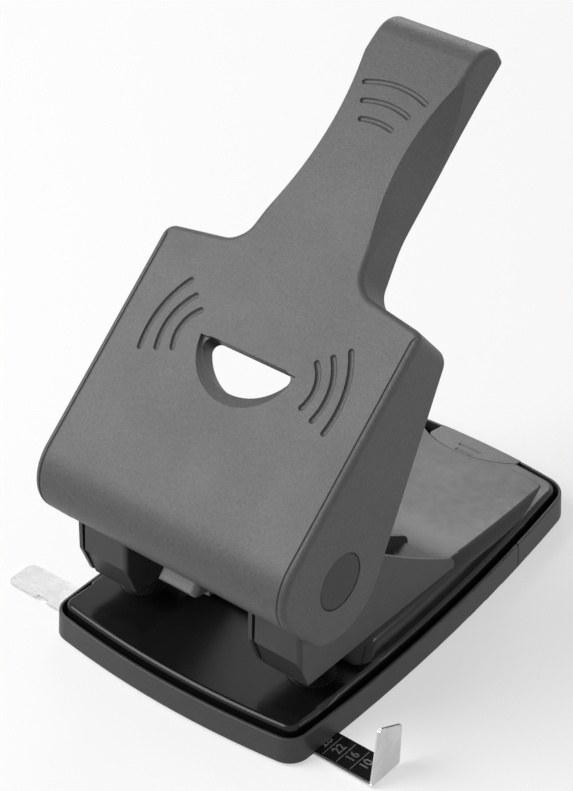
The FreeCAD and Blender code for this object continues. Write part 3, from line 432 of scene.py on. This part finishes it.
FIELD_LEFT, FIELD_RIGHT = -10.0 * MM, 82.2 * MM
FIELD_FRONT, FIELD_BACK = -80.6 * MM, -67.9 * MM
FIELD_CORNER_R = 0.6 * MM
FIELD_TOP = STRIP_TOP + PRINT_THICK

FIRST_MARK = 10.0 * MM
LINE_STEP = 6.0 * MM
LINE_WIDTH = 0.36 * MM
LINE_INSET = 0.7 * MM
LINE_FRONT, LINE_BACK = FIELD_FRONT + LINE_INSET, FIELD_BACK - LINE_INSET

DIGIT_SIZE = 5.0 * MM
DIGIT_BOLD = 0.08 * MM
DIGIT_STEPS = 4


def add_field(made):
    """Dark printed field on the strip."""
    field = bmesh.new()
    corners = rectangle(FIELD_LEFT, FIELD_RIGHT, FIELD_FRONT, FIELD_BACK)
    prism(rounded_outline(corners, FIELD_CORNER_R), STRIP_TOP, FIELD_TOP, field)
    guide_piece("scale_field", field, "black_gloss_paint", made)


def line_places():
    first = STOP_X - FIRST_MARK
    count = int((first - FIELD_LEFT) / LINE_STEP) + 1
    return [first - LINE_STEP * i for i in range(count)]


def number_mesh(text, x, y):
    """The faces of a plain number that reads along Y on the field and is centred on x, y."""
    curve = bpy.data.curves.new("number", "FONT")
    curve.body = text
    curve.size = DIGIT_SIZE
    curve.align_x = "CENTER"
    curve.align_y = "CENTER"
    curve.extrude = PRINT_THICK / 2
    curve.offset = DIGIT_BOLD
    curve.resolution_u = DIGIT_STEPS
    holder = bpy.data.objects.new("number", curve)
    mesh = bpy.data.meshes.new_from_object(holder)
    turn = Matrix.Rotation(math.radians(90), 4, "Z")
    mesh.transform(Matrix.Translation((x, y, FIELD_TOP + PRINT_THICK / 2)) @ turn)
    bpy.data.objects.remove(holder)
    bpy.data.curves.remove(curve)
    return mesh


def add_marks(made):
    """Bare steel lines on the field, and beside each its distance from the stop in millimetres."""
    lines, numbers = bmesh.new(), bmesh.new()
    for x in line_places():
        line = rectangle(x - LINE_WIDTH / 2, x + LINE_WIDTH / 2, LINE_FRONT, LINE_BACK)
        prism(line, FIELD_TOP, FIELD_TOP + PRINT_THICK, lines)
        label = str(round((STOP_X - x) / MM))
        digits = number_mesh(label, x + LINE_STEP / 2, (LINE_FRONT + LINE_BACK) / 2)
        numbers.from_mesh(digits)
        bpy.data.meshes.remove(digits)
    guide_piece("scale_lines", lines, "strip_steel", made)
    guide_piece("scale_numbers", numbers, "strip_steel", made)


# ---- stop of the paper guide -------------------------------------------------------------------------------

STOP_LEFT, STOP_RIGHT = 83.1 * MM, 84.1 * MM
STOP_OUTLINE = (
    (-81.6 * MM, 1.1 * MM),
    (-65.4 * MM, 1.1 * MM),
    (-65.0 * MM, 18.7 * MM),
    (-78.0 * MM, 25.3 * MM),
)
STOP_CORNER_R = 1.2 * MM
STOP_EDGE = 0.13 * MM
STOP_EDGE_STEPS = 2


def add_stop(made):
    """Plate over the strip's upright stop, which is wider at its rear than the solid under it."""
    plate = bmesh.new()
    outline = rounded_outline(STOP_OUTLINE, STOP_CORNER_R)
    prism(outline, STOP_LEFT, STOP_RIGHT, plate, place=upright)
    rims = [e for e in plate.edges if abs(e.verts[0].co.x - e.verts[1].co.x) < STOP_EDGE]
    bmesh.ops.bevel(plate, geom=rims, offset=STOP_EDGE, segments=STOP_EDGE_STEPS, affect="EDGES")
    guide_piece("stop_plate", plate, "strip_steel", made)


# ---- studio ------------------------------------------------------------------------------------------------

FLOOR_SIZE = 6.0
FLOOR_COLOUR = 0.86
FLOOR_WHITE_SHARE = 0.55
AMBIENT = 0.26
LAMP_TARGET = Vector((0.0, 0.0, 0.08))

# name, direction from the object, distance, width, height, radiance
LAMPS = (
    ("front_left", (-0.479, -0.553, 0.685), 1.7, 1.2, 1.2, 7.5),
    ("right", (0.9, 0.38, 0.13), 1.4, 0.6, 0.34, 5.0),
    ("back_left", (-0.507, 0.751, 0.423), 1.3, 0.55, 0.42, 4.0),
)


def seen_as_background(tree):
    """1 for the camera's rays and for rays that a gloss or a glass sends on, else 0."""
    path = tree.nodes.new("ShaderNodeLightPath")
    seen = path.outputs["Is Camera Ray"]
    for ray in ("Is Glossy Ray", "Is Transmission Ray"):
        either = tree.nodes.new("ShaderNodeMath")
        either.operation = "MAXIMUM"
        tree.links.new(seen, either.inputs[0])
        tree.links.new(path.outputs[ray], either.inputs[1])
        seen = either.outputs[0]
    return seen


def floor_material():
    """Pale matt floor that takes shadows, partly white by itself where it is seen as background."""
    n = Nodes("floor_white")
    n.set(Base_Color=(*grey(FLOOR_COLOUR), 1), Roughness=0.9, Specular_IOR_Level=0.1)
    white = n.add("ShaderNodeEmission")
    mix = n.add("ShaderNodeMixShader")
    n.link(n.math("MULTIPLY", seen_as_background(n.tree), FLOOR_WHITE_SHARE), mix.inputs["Fac"])
    n.link(n.shader.outputs["BSDF"], mix.inputs[1])
    n.link(white.outputs["Emission"], mix.inputs[2])
    n.link(mix.outputs["Shader"], n.tree.nodes["Material Output"].inputs["Surface"])
    return n.material


def add_floor():
    half = FLOOR_SIZE / 2
    mesh = bpy.data.meshes.new("floor")
    corners = [(x, y, 0) for x, y in rectangle(-half, half, -half, half)]
    mesh.from_pydata(corners, [], [(0, 1, 2, 3)])
    mesh.materials.append(floor_material())
    add_object("floor", mesh)


def add_world():
    """White to the camera and in reflections, and a weaker even light for everything else."""
    world = bpy.data.worlds.new("studio")
    bpy.context.scene.world = world
    world.use_nodes = True
    tree = world.node_tree
    tree.nodes.clear()
    strength = tree.nodes.new("ShaderNodeMapRange")
    strength.inputs["To Min"].default_value = AMBIENT
    strength.inputs["To Max"].default_value = 1.0
    tree.links.new(seen_as_background(tree), strength.inputs["Value"])
    sky = tree.nodes.new("ShaderNodeBackground")
    tree.links.new(strength.outputs["Result"], sky.inputs["Strength"])
    sky.inputs["Color"].default_value = (1, 1, 1, 1)
    out = tree.nodes.new("ShaderNodeOutputWorld")
    tree.links.new(sky.outputs[0], out.inputs["Surface"])


def add_softbox(name, direction, distance, width, height, radiance):
    """Flat lamp of an even radiance that faces the object."""
    data = bpy.data.lights.new(name, "AREA")
    data.shape = "RECTANGLE"
    data.size, data.size_y = width, height
    data.energy = radiance * math.pi * width * height
    outward = Vector(direction).normalized()
    lamp = add_object(name, data)
    lamp.location = LAMP_TARGET + outward * distance
    lamp.rotation_euler = (-outward).to_track_quat("-Z", "Y").to_euler()


def add_studio():
    add_floor()
    add_world()
    for lamp in LAMPS:
        add_softbox(*lamp)
    bpy.context.scene.view_settings.view_transform = "Standard"


# ---- whole scene -------------------------------------------------------------------------------------------


def build_scene():
    add_camera()
    made = finishes()
    dress_nodes(made)
    add_field(made)
    add_marks(made)
    add_stop(made)
    for side in ("left", "right"):
        add_spring(side, made)
    add_studio()


build_scene()
